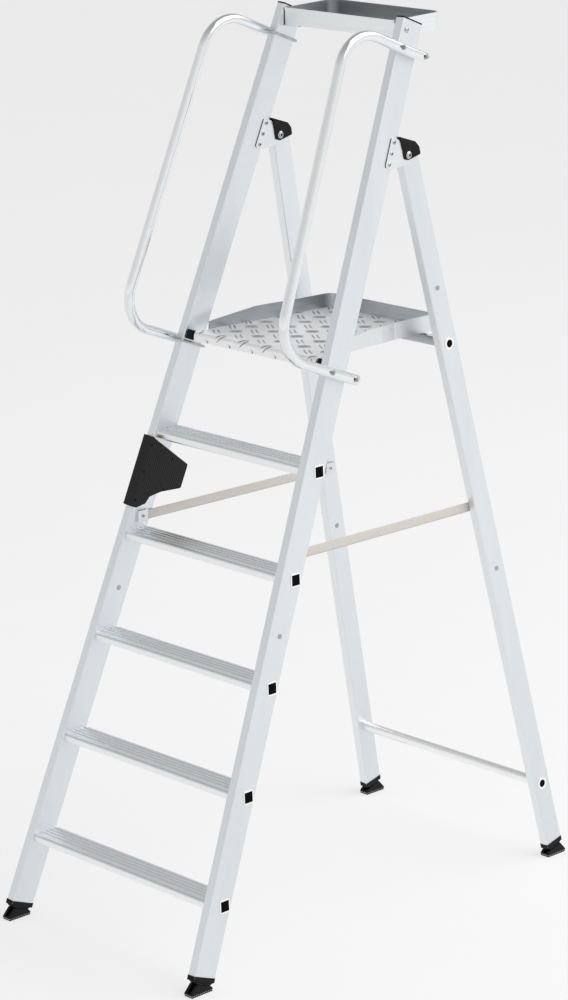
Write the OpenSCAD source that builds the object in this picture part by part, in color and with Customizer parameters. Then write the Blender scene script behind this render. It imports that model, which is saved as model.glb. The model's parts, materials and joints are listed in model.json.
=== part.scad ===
// Aluminium platform stepladder: treads, guarded platform, bow handrails, tool tray and folding rear legs.
// Lengths are in millimetres. X points to the right, Y to the rear, Z up, and the floor is Z = 0.

/* [Front frame] */
// Rise from one tread to the next
step_rise = 235; // [225:1:245]
// Height of the first tread above the floor
first_step = 203; // [190:1:230]
// Width over the stiles at the floor
front_width = 661.5; // [630:0.5:700]
// Lean of the stiles from the vertical, in degrees
stile_lean = 20.75; // [19:0.05:22]
// Inward lean of each stile, in degrees
stile_taper = 3.18; // [2.8:0.01:3.4]
// Depth of a stile from front to rear
stile_w = 67; // [62:1:72]
// Thickness of a stile
stile_t = 23.2; // [22:0.1:25]
// Height of the stile tops above the platform
stile_above_deck = 753; // [720:1:800]

/* [Treads] */
// Depth of a tread from front to rear
tread_depth = 80; // [76:1:84]
// Height of the tread's front lip
tread_lip = 16.5; // [14:0.5:19]
// Thickness of the tread plate
tread_t = 3; // [2.5:0.1:3.5]
// Outside of the square tube under each tread
step_box = 28; // [25:0.5:30]

/* [Rear frame] */
// Lean of the rear legs from the vertical, in degrees
leg_lean = 14.07; // [13:0.01:15.5]
// Inward lean of each rear leg, in degrees
leg_taper = 3.27; // [2.9:0.01:3.5]
// Depth of a rear leg from front to rear
leg_w = 54; // [50:1:58]
// Outside diameter of the cross tubes
cross_d = 25; // [22:0.5:28]
// Height of the hinge bolts above the platform
hinge_above_deck = 437; // [420:1:460]

/* [Platform] */
// Overhang of the platform behind the upper cross tube
deck_overhang = 34; // [26:0.5:40]
// Height of the toe board above the deck
toe_h = 35; // [30:1:45]
// Thickness of the deck plate
deck_t = 3; // [2:0.5:4]

/* [Handrails] */
// Diameter of the handrail tube
rail_d = 25; // [22:0.5:28]
// Distance of the handrail in front of the stile
rail_reach = 179; // [150:1:200]
// Bend radius at the middle of the handrail tube
rail_bend = 90; // [70:1:100]

/* [Tool tray] */
// Depth of the tray from front to rear
tray_depth = 165; // [140:1:190]
// Height of the tray walls
tray_h = 40; // [32:1:50]

/* [Feet and straps] */
// Length of a foot sole
sole_len = 65; // [61:1:68]
// Width of a foot sole
sole_w = 25; // [23:0.5:27]
// Width of the webbing
strap_w = 23; // [18:1:26]

/* [Hidden] */
$fn = 48;

// General clearances and wall sizes
overrun = 2;
slip = 0.15;
seat = 0.05;
run = 0.3;
tube_wall = 2;
corner_r = 3;
far = 3000;

// Colours
alu = [0.82, 0.83, 0.85];
alu_dark = [0.68, 0.69, 0.71];
steel = [0.75, 0.75, 0.74];
black = [0.09, 0.09, 0.09];
grey = [0.62, 0.62, 0.60];
beige = [0.73, 0.70, 0.65];

// Treads
step_count = 5;
step_setback = 4;
box_wall = 1.4;
box_setback = tread_depth / 2;
box_sink = 0.9;
box_r = 1.2;
rib_count = 4;
rib_h = 1.6;
rib_base = 7;
rib_top = 2.6;
rib_pitch = 13;
rib_first = 26;
tread_r = 8;
heel_lip = 14;
box_drop = box_sink + step_box / 2;
flare_w = 2;
flare_t = 1.2;
flare_r = 6;
plug_depth = 9;
plug_r = 5;
function step_z(i) = first_step + (i - 1) * step_rise;
deck_drop = 3;
deck_z = first_step + step_count * step_rise - deck_drop;
stile_top_z = deck_z + stile_above_deck;

// Feet
pin_r = 4;
foot_pin_z = 19;
pin_to_band = 9;
band_h = 11;
band_skirt = 1.2;
band_floor = 3;
neck_h = 2.6;
neck_half = 23;
neck_t = 17;
lug_t = 9;
lug_r = 8;
lug_play = 1;
waist_front = 17.5;
waist_rear = 22.5;
waist_z = 2.7;
waist_slope = 18.5;
waist_r = 2;
shoe_toe = 36.5;
shoe_edge_h = 2.5;
shoe_floor = 3.5;
sole_h = 5;
sole_plate = 1.6;
sole_ribs = 9;
shoe_heel = sole_len - shoe_toe;
pin_grip = 1.5;

// Stile frame: X outward from the outer face, Y rearward from the front face, Z along the stile
function stile_s(z, d = 0, x = 0) =
  ((z + d * sin(stile_lean)) / cos(stile_lean) - x * sin(stile_taper)) / cos(stile_taper);
function stile_x(p) = front_width / 2 + p.x * cos(stile_taper) - p.z * sin(stile_taper);
function stile_up(p) = p.x * sin(stile_taper) + p.z * cos(stile_taper);
function stile_y(p) = stile_up(p) * sin(stile_lean) + p.y * cos(stile_lean);

// Leg frame: X outward from the outer face, Y rearward from the front face, Z along the leg
leg_t = stile_t;
function leg_s(z, d = 0, x = 0) =
  ((z - d * sin(leg_lean)) / cos(leg_lean) - x * sin(leg_taper)) / cos(leg_taper);
function leg_up(p) = p.x * sin(leg_taper) + p.z * cos(leg_taper);
function leg_y(p) = p.y * cos(leg_lean) - leg_up(p) * sin(leg_lean);

// Hinge bolts lie along X, behind the stiles
hinge_back = 42;
hinge_leg_d = 19;
hinge_z = deck_z + hinge_above_deck;
hinge_d = stile_w + hinge_back;
hinge_s = stile_s(hinge_z, hinge_d, -stile_t / 2);
hinge_local = [-stile_t / 2, hinge_d, hinge_s];
hinge_leg_s = leg_s(hinge_z, hinge_leg_d, -leg_t / 2);
hinge_leg_local = [-leg_t / 2, hinge_leg_d, hinge_leg_s];

// Foot pins lie along X, under the middle of each tube
stile_pin_s = stile_s(foot_pin_z, stile_w / 2, -stile_t / 2);
stile_pin_local = [-stile_t / 2, stile_w / 2, stile_pin_s];
leg_pin_s = leg_s(foot_pin_z, leg_w / 2, -leg_t / 2);
leg_pin_local = [-leg_t / 2, leg_w / 2, leg_pin_s];

// The front and rear soles stand at equal distances from Y = 0
spread = stile_y(hinge_local) - leg_y(hinge_leg_local) + leg_y(leg_pin_local);
stile_foot_y = -(stile_y(stile_pin_local) + spread) / 2;
hinge_y = stile_foot_y + stile_y(hinge_local);
hinge_x = stile_x(hinge_local);
leg_foot_y = hinge_y - leg_y(hinge_leg_local);
leg_half_w = hinge_x + leg_t / 2 * cos(leg_taper) + hinge_leg_s * sin(leg_taper);
function leg_x(p) = leg_half_w + p.x * cos(leg_taper) - p.z * sin(leg_taper);
stile_pin_x = stile_x(stile_pin_local);
stile_pin_y = stile_foot_y + stile_y(stile_pin_local);
leg_pin_x = leg_x(leg_pin_local);
leg_pin_y = leg_foot_y + leg_y(leg_pin_local);

// Stile ends
stile_start = stile_pin_s + pin_to_band + band_floor + slip;
stile_top = stile_s(stile_top_z);
cap_t = 3.5;
cap_plug = 12;
stile_end = stile_top - cap_t;
leg_start = leg_pin_s + pin_to_band + band_floor + slip;
leg_top_above_pin = 14.5;
leg_end = hinge_leg_s + leg_w;

// Hinge
bolt_r = 6;
bolt_head_r = 9;
bolt_head_t = 3.2;
socket_r = 3.2;
socket_depth = 1.8;
plate_t = 2;
plate_joggle = 1.3;
plate_front = 45;
plate_half_h = 36;
plate_corner = 7;
plate_eye_r = 15;
plate_s = hinge_s - 11;
joggle_start = 2;
joggle_len = 18;
rivet_r = 3;
rivet_head_r = 5.5;
rivet_head_t = 2.2;
rivet_hole_r = 1.6;
rivet_pitch = 26.5;
rivet_d = 56.3;
cheek_gap = 0.9;
cheek_t = 2;
hinge_web = 3;
web_rise = 7.5;
hook_reach = run;
cap_in = plate_joggle + plate_t + cheek_gap;
cap_out = cap_in + cheek_t;
head_gap = 0.4;
head_reach = stile_t / 2 + cap_out + bolt_head_r * tan(leg_taper) + head_gap;

// Handrails
rail_wall = 1.8;
rail_gap = 1;
rail_x = rail_d / 2 + rail_gap;
rail_low_drop = 22;
rail_top_drop = 74.4;
rail_tail = 21;
rail_toe = 1.2;
function tenth(v) = round(v * 10) / 10;
rail_low_s = tenth(stile_s(deck_z - rail_low_drop));
rail_top_s = tenth(stile_top - rail_top_drop);
u_rod_r = 3;
u_gap = 4;
u_bend = 8;
nut_af = 11;
nut_t = 5;
nut_seat = 1.5;
nut_seat_r = 8;
u_thread = 3;
u_front = -u_gap - u_rod_r;
u_rear = stile_w + u_gap + u_rod_r;

// Cross tubes
cross_wall = 3;
cross_flare = 2.5;
rest_h = 8.4;
rest_w = 44;
rest_inset = 40;
upper_cross_z = deck_z - rest_h - cross_d / 2;
lower_cross_z = 199.6;
cross_plug_depth = 10;
function cross_y(z) = leg_foot_y + leg_y([-leg_t / 2, leg_w / 2, leg_s(z, leg_w / 2, -leg_t / 2)]);

// Platform
bearing_d = 22;
bearing_t = 18;
bearing_l = 28;
bearing_top = 12.3;
bearing_gap = 4.2;
bearing_low = rail_low_s + u_rod_r + bearing_gap;
bearing_skin = 2.5;
pivot_drop = 15;
pivot_r = 5;
pivot_z = deck_z - pivot_drop;
pivot_local = [-stile_t, bearing_d, stile_s(pivot_z, bearing_d, -stile_t)];
pivot_x = stile_x(pivot_local);
pivot_y = stile_foot_y + stile_y(pivot_local);
deck_side_gap = 9.5;
deck_nose = 14;
deck_front = pivot_y - deck_nose;
nose_r = 11;
nose_drop = 23;
nose_inset = 5.5;
toe_t = 2.5;
deck_rear = cross_y(upper_cross_z) + deck_overhang;
toe_setback = 43;
toe_drop = 4.9;
toe_front = deck_front + toe_setback;
toe_front_drop = 17;
toe_ramp_share = 0.378;
toe_corner = 27;
flange_t = 2;
cheek_plate = 3;
deck_half = pivot_x - bearing_t - deck_side_gap;
nose_half = deck_half - nose_inset;
deck_narrow = 12;
joggle_in = 7;
deck_rear_narrow = 5;
deck_joggle_shares = [0.493, 0.618];

// Tray
tray_rim_drop = 12.5;
tray_tilt = 2.6;
tray_wall = 2;
tray_corner = 27;
tray_front_r = 6;
tray_side_gap = 4;
rim_h = 7;
rim_t = 1.5;
tray_rim_z = stile_top_z - tray_rim_drop;
tray_floor_z = tray_rim_z - tray_h;
tray_front_local = [-stile_t, 0, stile_s(tray_rim_z, 0, -stile_t)];
tray_front_y = stile_foot_y + stile_y(tray_front_local);
tray_half = stile_x(tray_front_local) - tray_side_gap;
tray_bolt_r = 4;
tray_bolt_head_r = 7;
tray_bolt_head_t = 3.5;
tray_nut_r = 6;
tray_bolt_d = 19;
tray_bolt_drop = 20;
tray_bolt_local = [0, tray_bolt_d, stile_s(tray_rim_z - tray_bolt_drop, tray_bolt_d)];
tray_bolt_y = stile_foot_y + stile_y(tray_bolt_local);
tray_bolt_z = tray_rim_z - tray_bolt_drop;
spacer_half = 15;
ledge_t = 3;
ledge_l = 46;
ledge_w = 22;

// Carry pad on the left stile: outline in the stile's depth and length
pad_t = 8;
pad_front = 7.5;
pad_wrap = 1.5;
pad_fin = 62.5;
pad_r = 6;
pad_shares = [[1.00, 0.755], [1.00, 0.41], [0.57, 0.297], [0.33, 0.19], [0.28, 0.085], [0.10, 0.00]];
pad_front_screw_shares = [0.10, 0.505, 0.885];
pad_rear_screw_shares = [0.335, 0.77];
pad_screw_d = -3.8;
pad_screw_back = 8;
pad_screw_r = 2.6;
pad_screw_t = 3;
pad_recess = 1.2;

// Straps
strap_z = step_z(4) + 32;
strap_t = 1.8;
clip_t = 1.5;
clip_gap = 0.9;
clip_l = 30;
clip_h = strap_w + 5;
clip_in = 2 * clip_t + strap_t + 2 * clip_gap;
pad_over_clip = 14.7;
pad_under_tread = 13.2;
pad_low = stile_s(strap_z + clip_h / 2 + pad_over_clip);
pad_high = stile_s(step_z(step_count) - pad_under_tread);
pad_len = pad_high - pad_low;
clip_rivet_r = 2.5;
clip_rivet_head = 4;
front_clip_d = 38;
rear_clip_d = leg_w / 2;
front_clip_local = [-stile_t, front_clip_d, stile_s(strap_z, front_clip_d, -stile_t)];
rear_clip_local = [-leg_t, rear_clip_d, leg_s(strap_z, rear_clip_d, -leg_t)];
strap_off = clip_t + clip_gap + strap_t / 2;
front_clip_y = stile_foot_y + stile_y(front_clip_local);
rear_clip_y = leg_foot_y + leg_y(rear_clip_local);
front_strap_x = stile_x(front_clip_local) - strap_off;
rear_strap_x = leg_x(rear_clip_local) - strap_off;
strap_end_in = 9;

// Flush rivets through the stiles and legs
disc_r = 6;
disc_t = 0.8;
stile_disc_s = stile_s(step_z(3) + 113);
stile_disc_d = 35;
leg_disc_low_s = leg_s(step_z(3) + 101);
disc_above_deck = 109;
leg_disc_high_s = leg_s(deck_z + disc_above_deck);

// Mirrors the right-hand piece for the left side
module sided(side) {
  if (side < 0)
    mirror([1, 0, 0])
      children();
  else
    children();
}

module both_sides() {
  for (side = [-1, 1])
    sided(side)
      children();
}

module on_stile() {
  translate([front_width / 2, stile_foot_y, 0])
    rotate([-stile_lean, 0, 0])
      rotate([0, -stile_taper, 0])
        children();
}

module on_leg() {
  translate([leg_half_w, leg_foot_y, 0])
    rotate([leg_lean, 0, 0])
      rotate([0, -leg_taper, 0])
        children();
}

// A rod along X, from x0 to x1
module rod_x(r, x0, x1) {
  translate([x0, 0, 0])
    rotate([0, 90, 0])
      cylinder(r = r, h = x1 - x0);
}

// A domed head on the plane X = 0, rising towards +X
module dome(r, h) {
  ball = (r * r + h * h) / (2 * h);
  rotate([0, 90, 0])
    rotate_extrude()
      intersection() {
        translate([0, h - ball])
          circle(ball);
        square([r, h]);
      }
}

// A domed head with a six-sided socket
module socket_head(r, h) {
  difference() {
    dome(r, h);
    translate([h - socket_depth, 0, 0])
      rotate([0, 90, 0])
        cylinder(r = socket_r, h = h, $fn = 6);
  }
}

// Extrudes an outline drawn in Y and Z along X, from x0 to x1
module along_x(x0, x1) {
  translate([x0, 0, 0])
    rotate([90, 0, 90])
      linear_extrude(x1 - x0)
        children();
}

module rounded_square(size, r) {
  translate([r, 0])
    square([size.x - 2 * r, size.y]);
  translate([0, r])
    square([size.x, size.y - 2 * r]);
  for (x = [r, size.x - r], y = [r, size.y - r])
    translate([x, y])
      circle(r);
}

// Outline through points with a radius at each: [x, y, r], corners swept as arcs
arc_steps = 8;
function unit(v) = v / norm(v);
function turn(a, b) = a.x * b.y - a.y * b.x;
function corner(a, p, b) =
  let (u = unit([a.x - p.x, a.y - p.y]), v = unit([b.x - p.x, b.y - p.y]))
  let (half = acos(u * v) / 2, reach = p.z / tan(half))
  let (start = [p.x, p.y] + u * reach, mid = [p.x, p.y] + unit(u + v) * p.z / sin(half))
  let (sweep = (turn(u, v) > 0 ? -1 : 1) * (180 - 2 * half), first = atan2(start.y - mid.y, start.x - mid.x))
  p.z == 0 ? [[p.x, p.y]] : [for (k = [0 : arc_steps])
    let (angle = first + sweep * k / arc_steps)
    mid + p.z * [cos(angle), sin(angle)]];
function smooth(points) =
  let (n = len(points))
  [for (i = [0 : n - 1]) each corner(points[(i + n - 1) % n], points[i], points[(i + 1) % n])];

// The space between the two stiles, out to a distance off from their outer faces
module between_stiles(off) {
  half = front_width / 2 + off / cos(stile_taper);
  lean_in = far * tan(stile_taper);
  translate([0, stile_foot_y, 0])
    rotate([-stile_lean + 90, 0, 0])
      linear_extrude(far, center = true)
        polygon([[-half, 0], [half, 0], [half - lean_in, far], [lean_in - half, far]]);
}

// The space between the two rear legs, out to a distance off from their outer faces
module between_legs(off) {
  half = leg_half_w + off / cos(leg_taper);
  lean_in = far * tan(leg_taper);
  translate([0, leg_foot_y, 0])
    rotate([leg_lean + 90, 0, 0])
      linear_extrude(far, center = true)
        polygon([[-half, 0], [half, 0], [half - lean_in, far], [lean_in - half, far]]);
}

// A rectangular tube along Z with rounded edges, its outer face at X = 0
module box_tube(t, w, z0, z1) {
  translate([-t, 0, z0])
    linear_extrude(z1 - z0)
      difference() {
        rounded_square([t, w], corner_r);
        translate([tube_wall, tube_wall])
          rounded_square([t - 2 * tube_wall, w - 2 * tube_wall], corner_r - tube_wall);
      }
}

// Places a piece at the front edge and the top of a tread
module at_step(i) {
  at = [0, 0, stile_s(step_z(i))];
  translate([0, stile_foot_y + stile_y(at) + step_setback, step_z(i)])
    children();
}

module box_outline(size, r) {
  translate([box_setback - size / 2, -box_drop - size / 2])
    rounded_square([size, size], r);
}

module box_bore() {
  inside = step_box - 2 * box_wall;
  translate([box_setback - inside / 2, -box_drop - inside / 2])
    square(inside);
}

// Points over one rib, from front to rear
function rib_points(k) =
  let (mid = rib_first + k * rib_pitch)
  [
    [mid - rib_base / 2, 0, 0], [mid - rib_top / 2, rib_h, 0],
    [mid + rib_top / 2, rib_h, 0], [mid + rib_base / 2, 0, 0]
  ];

// Ribbed plate with rounded front and rear lips
function tread_points() = [
  [0, -tread_lip, 0],
  [0, 0, tread_r],
  for (k = [0 : rib_count - 1]) each rib_points(k),
  [tread_depth, 0, tread_r],
  [tread_depth, -heel_lip, 0],
  [tread_depth - tread_t, -heel_lip, 0],
  [tread_depth - tread_t, -tread_t, tread_r - tread_t],
  [tread_t, -tread_t, tread_r - tread_t],
  [tread_t, -tread_lip, 0]
];

// The ribbed plate with the square tube below it
module tread_outline() {
  difference() {
    union() {
      polygon(smooth(tread_points()));
      box_outline(step_box, box_r);
    }
    box_bore();
  }
}

// A tread between the stiles, with its tube passed through both stiles and flared outside
module step(i) {
  color(alu) {
    intersection() {
      between_stiles(-stile_t - slip);
      at_step(i)
        along_x(-front_width, front_width)
          tread_outline();
    }
    intersection() {
      between_stiles(flare_t);
      at_step(i)
        along_x(-front_width, front_width)
          difference() {
            box_outline(step_box, box_r);
            box_bore();
          }
    }
    difference() {
      intersection() {
        between_stiles(flare_t);
        at_step(i)
          along_x(-front_width, front_width)
            difference() {
              box_outline(step_box + 2 * flare_w, flare_r);
              box_bore();
            }
      }
      between_stiles(seat);
    }
  }
}

module step_plugs() {
  inside = step_box - 2 * box_wall - 2 * slip;
  color(black)
    for (i = [1 : step_count])
      difference() {
        intersection() {
          between_stiles(flare_t);
          at_step(i)
            along_x(-front_width, front_width)
              box_outline(inside, plug_r);
        }
        between_stiles(-plug_depth);
      }
}

// Square holes through both stiles for the tread tubes
module step_holes() {
  for (i = [1 : step_count])
    at_step(i)
      along_x(-front_width, front_width)
        box_outline(step_box + 2 * slip, box_r);
}

module stile(side) {
  color(alu)
    difference() {
      sided(side)
        difference() {
          on_stile() {
            difference() {
              box_tube(stile_t, stile_w, stile_start, stile_end);
              hinge_rivet_places()
                rod_x(rivet_r + seat, -stile_t - overrun, overrun);
              translate([0, stile_disc_d, stile_disc_s])
                rod_x(disc_r / 2 + seat, -stile_t - overrun, overrun);
              translate(front_clip_local)
                rod_x(clip_rivet_r + seat, -overrun, tube_wall + overrun);
            }
          }
          tray_bolt_at()
            rod_x(tray_bolt_r + slip, 0, far);
        }
      step_holes();
    }
}

module stile_left() stile(-1);
module stile_right() stile(1);

// Plastic cap with a short plug inside the stile
module stile_cap(side) {
  plug_gap = tube_wall + slip;
  color(black)
    sided(side)
      on_stile() {
        translate([-stile_t, 0, stile_end])
          linear_extrude(cap_t)
            rounded_square([stile_t, stile_w], corner_r);
        translate([plug_gap - stile_t, plug_gap, stile_end - cap_plug])
          linear_extrude(cap_plug)
            rounded_square([stile_t - 2 * plug_gap, stile_w - 2 * plug_gap], corner_r - tube_wall);
      }
}

module stile_cap_left() stile_cap(-1);
module stile_cap_right() stile_cap(1);

// Flush rivets through the middle of each stile
module stile_rivets() {
  color(alu_dark)
    both_sides()
      on_stile()
        translate([0, stile_disc_d, stile_disc_s]) {
          rod_x(disc_r / 2, -stile_t, 0);
          rod_x(disc_r, seat, disc_t);
          rod_x(disc_r, -stile_t - disc_t, -stile_t - seat);
          rod_x(disc_r / 2, -stile_t - disc_t, disc_t);
        }
}

module on_tray() {
  translate([0, tray_front_y, tray_floor_z])
    rotate([tray_tilt, 0, 0])
      children();
}

module tray_outline(inset) {
  half = tray_half - inset;
  front_r = tray_front_r - inset;
  rear_r = tray_corner - inset;
  rear = tray_depth - inset;
  polygon(smooth([
    [-half, inset, front_r], [half, inset, front_r], [half, rear, rear_r], [-half, rear, rear_r]
  ]));
}

module tray_bolt_at() {
  translate([0, tray_bolt_y, tray_bolt_z])
    children();
}

// Open sheet tray with a hemmed rim
module tray() {
  color(alu)
    difference() {
      on_tray()
        difference() {
          linear_extrude(tray_h)
            tray_outline(0);
          translate([0, 0, tray_wall])
            linear_extrude(tray_h - tray_wall - rim_h)
              tray_outline(tray_wall);
          translate([0, 0, tray_h - rim_h - seat])
            linear_extrude(rim_h + overrun)
              tray_outline(tray_wall + rim_t);
        }
      tray_bolt_at()
        rod_x(tray_bolt_r + slip, -far, far);
    }
}

// Plastic wedge between the tray and each stile, with a ledge under the tray's front edge
module tray_spacers() {
  color(black)
    both_sides()
      difference() {
        intersection() {
          between_stiles(-stile_t - seat);
          union() {
            tray_bolt_at()
              translate([tray_half + seat, -spacer_half, -spacer_half])
                cube([stile_t, 2 * spacer_half, 2 * spacer_half]);
            on_tray()
              translate([tray_half - ledge_l, tray_wall, -ledge_t - seat])
                cube([ledge_l + stile_t, ledge_w, ledge_t]);
            tray_bolt_at()
              translate([tray_half + seat, -spacer_half, -tray_h + tray_bolt_drop - ledge_t])
                cube([stile_t, 2 * spacer_half, tray_h - tray_bolt_drop]);
          }
        }
        tray_bolt_at()
          rod_x(tray_bolt_r + slip, -far, far);
      }
}

// Bolt through stile, spacer and tray wall, with a nut inside the tray
module tray_bolts() {
  outer = stile_x(tray_bolt_local) + tray_bolt_head_r * tan(stile_taper) + seat;
  inner = tray_half - tray_wall - run;
  color(steel)
    both_sides()
      tray_bolt_at() {
        rod_x(tray_bolt_r, inner - tray_bolt_head_t, outer + seat);
        translate([outer, 0, 0])
          socket_head(tray_bolt_head_r, tray_bolt_head_t);
        translate([inner - tray_bolt_head_t, 0, 0])
          rotate([0, 90, 0])
            cylinder(r = tray_nut_r, h = tray_bolt_head_t, $fn = 6);
      }
}

// Bow tube in the plane outside the stile: two arms across the stile, plugged at the rear, and a grip in front
module rail_section() {
  difference() {
    circle(rail_d / 2);
    circle(rail_d / 2 - rail_wall);
  }
}

module rail_corner() {
  rotate([90, 0, 90])
    rotate_extrude(angle = 90)
      translate([rail_bend, 0])
        rail_section();
}

module rail_run() {
  plug = u_rear + u_rod_r + u_gap;
  arm = u_rear + rail_tail - u_rod_r - u_gap;
  grip_low = rail_low_s + rail_bend;
  grip_top = rail_top_s - rail_bend;
  arm_front = rail_bend - rail_reach;
  for (s = [rail_low_s, rail_top_s])
    translate([rail_x, arm_front, s])
      rotate([-90, 0, 0]) {
        linear_extrude(plug - arm_front)
          rail_section();
        translate([0, 0, plug - arm_front])
          cylinder(d = rail_d, h = arm - plug);
      }
  translate([rail_x, -rail_reach, grip_low])
    linear_extrude(grip_top - grip_low)
      rail_section();
  translate([rail_x, arm_front, grip_top])
    rotate([90, 0, 0])
      rail_corner();
  translate([rail_x, arm_front, grip_low])
    rotate([180, 0, 0])
      rail_corner();
}

module u_bolt_places() {
  for (s = [rail_low_s, rail_top_s])
    translate([0, 0, s])
      children();
}

// The rail's own plane, turned in towards the front about the stile's middle
module rail_path() {
  translate([rail_x, stile_w / 2, 0])
    rotate([0, 0, -rail_toe])
      translate([-rail_x, -stile_w / 2, 0])
        rail_run();
}

module handrail(side) {
  color(alu)
    sided(side)
      on_stile()
        difference() {
          rail_path();
          u_bolt_places()
            for (d = [u_front, u_rear])
              translate([0, d, 0]) {
                rod_x(u_rod_r + slip, 0, rail_d + overrun);
                rod_x(nut_seat_r, rail_gap + rail_d - nut_seat, rail_d + overrun);
              }
        }
}

module handrail_left() handrail(-1);
module handrail_right() handrail(1);

// Round-rod bolts round the inner face of the stile, one at each handrail arm
module handrail_u_bolts() {
  back = -stile_t - u_rod_r - rail_gap;
  tip = rail_gap + rail_d - nut_seat + nut_t + u_thread;
  color(steel)
    both_sides()
      on_stile()
        u_bolt_places() {
          for (d = [u_front, u_rear])
            translate([0, d, 0])
              rod_x(u_rod_r, back + u_bend, tip);
          translate([back, u_front + u_bend, 0])
            rotate([-90, 0, 0])
              cylinder(r = u_rod_r, h = u_rear - u_front - 2 * u_bend);
          translate([back + u_bend, u_front + u_bend, 0])
            rotate([0, 0, 180])
              rotate_extrude(angle = 90)
                translate([u_bend, 0])
                  circle(u_rod_r);
          translate([back + u_bend, u_rear - u_bend, 0])
            rotate([0, 0, 90])
              rotate_extrude(angle = 90)
                translate([u_bend, 0])
                  circle(u_rod_r);
        }
}

module handrail_nuts() {
  color(steel)
    both_sides()
      on_stile()
        u_bolt_places()
          for (d = [u_front, u_rear])
            translate([rail_gap + rail_d - nut_seat + seat, d, 0])
              rotate([0, 90, 0])
                difference() {
                  cylinder(d = nut_af / cos(30), h = nut_t, $fn = 6);
                  translate([0, 0, -overrun])
                    cylinder(r = u_rod_r + seat, h = nut_t + 2 * overrun);
                }
}

module hinge_rivet_places() {
  for (k = [-1, 0, 1])
    translate([0, rivet_d, plate_s + k * rivet_pitch])
      children();
}

module hinge_axis() {
  translate([0, hinge_y, hinge_z])
    children();
}

// Plate outline in the stile's depth and length: a riveted flange tapering to a round eye at the bolt
module plate_outline() {
  eye = [hinge_d, hinge_s];
  low = plate_s - plate_half_h;
  high = plate_s + plate_half_h;
  polygon(smooth([
    [plate_front, low, plate_corner], [stile_w, low, plate_corner],
    [eye.x + plate_eye_r, eye.y - plate_eye_r, plate_eye_r],
    [eye.x + plate_eye_r, eye.y + plate_eye_r, plate_eye_r],
    [stile_w, high, plate_corner], [plate_front, high, plate_corner]
  ]));
}

// Section of a plate: flat on the stile, then stepped outwards to clear the leg
module plate_section() {
  step_at = stile_w + joggle_start;
  end_at = hinge_d + 2 * plate_eye_r;
  polygon([
    [seat, 0], [seat, step_at], [plate_joggle, step_at + joggle_len], [plate_joggle, end_at],
    [plate_joggle + plate_t, end_at], [plate_joggle + plate_t, step_at + joggle_len],
    [plate_t, step_at], [plate_t, 0]
  ]);
}

module plate_blank() {
  intersection() {
    linear_extrude(far)
      plate_section();
    along_x(0, plate_joggle + plate_t)
      plate_outline();
  }
}

module hinge_plate(side, inner) {
  color(alu)
    sided(side)
      difference() {
        on_stile()
          difference() {
            if (inner)
              translate([-stile_t, 0, 0])
                mirror([1, 0, 0])
                  plate_blank();
            else
              plate_blank();
            hinge_rivet_places()
              rod_x(rivet_r + seat, -stile_t - 2 * plate_t - overrun, 2 * plate_t + overrun);
          }
        hinge_axis()
          rod_x(bolt_r + seat, 0, far);
      }
}

module hinge_plate_left_outer() hinge_plate(-1, false);
module hinge_plate_left_inner() hinge_plate(-1, true);
module hinge_plate_right_outer() hinge_plate(1, false);
module hinge_plate_right_inner() hinge_plate(1, true);

// Domed rivets with a small hole, through the stile and both plates
module hinge_rivets() {
  face = plate_t + seat;
  color(steel)
    both_sides()
      on_stile()
        hinge_rivet_places()
          difference() {
            union() {
              rod_x(rivet_r, -stile_t - face - seat, face + seat);
              translate([face, 0, 0])
                dome(rivet_head_r, rivet_head_t);
              translate([-stile_t - face, 0, 0])
                mirror([1, 0, 0])
                  dome(rivet_head_r, rivet_head_t);
            }
            rod_x(rivet_hole_r, face, far);
            rod_x(rivet_hole_r, -far, -stile_t - face);
          }
}

// Pivot bolt along X through plates, leg and cap, with a domed head outside each cheek
module hinge_bolts() {
  color(steel)
    both_sides()
      translate([hinge_x, hinge_y, hinge_z]) {
        rod_x(bolt_r, -head_reach - seat, head_reach + seat);
        translate([head_reach, 0, 0])
          socket_head(bolt_head_r, bolt_head_t);
        translate([-head_reach, 0, 0])
          mirror([1, 0, 0])
            socket_head(bolt_head_r, bolt_head_t);
      }
}

module leg(side) {
  color(alu)
    difference() {
      sided(side)
        difference() {
          on_leg()
            difference() {
              box_tube(leg_t, leg_w, leg_start, leg_end);
              translate([0, leg_w / 2, leg_disc_low_s])
                rod_x(disc_r / 2 + seat, -leg_t - overrun, overrun);
              translate([0, leg_w / 2, leg_disc_high_s])
                rod_x(disc_r / 2 + seat, -leg_t - overrun, overrun);
              translate(rear_clip_local)
                rod_x(clip_rivet_r + seat, -overrun, tube_wall + overrun);
            }
          hinge_axis()
            rod_x(bolt_r + seat, 0, far);
          hinge_axis()
            translate([0, -far / 2, leg_top_above_pin])
              cube([far, far, far]);
        }
      for (z = [lower_cross_z, upper_cross_z])
        translate([0, cross_y(z), z])
          rod_x(cross_d / 2 + slip, -far, far);
    }
}

module leg_left() leg(-1);
module leg_right() leg(1);

module leg_rivets() {
  color(alu_dark)
    both_sides()
      on_leg()
        for (s = [leg_disc_low_s, leg_disc_high_s])
          translate([0, leg_w / 2, s]) {
            rod_x(disc_r / 2, -leg_t - disc_t, disc_t);
            rod_x(disc_r, seat, disc_t);
            rod_x(disc_r, -leg_t - disc_t, -leg_t - seat);
          }
}

// Round tube through both legs, flared on their outer faces
module cross_tube(z) {
  inside = cross_d / 2 - cross_wall;
  color(alu)
    translate([0, 0, 0])
      difference() {
        union() {
          intersection() {
            between_legs(flare_t);
            translate([0, cross_y(z), z])
              rod_x(cross_d / 2, -front_width, front_width);
          }
          difference() {
            intersection() {
              between_legs(flare_t);
              translate([0, cross_y(z), z])
                rod_x(cross_d / 2 + cross_flare, -front_width, front_width);
            }
            between_legs(seat);
          }
        }
        translate([0, cross_y(z), z])
          rod_x(inside, -far, far);
      }
}

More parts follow.
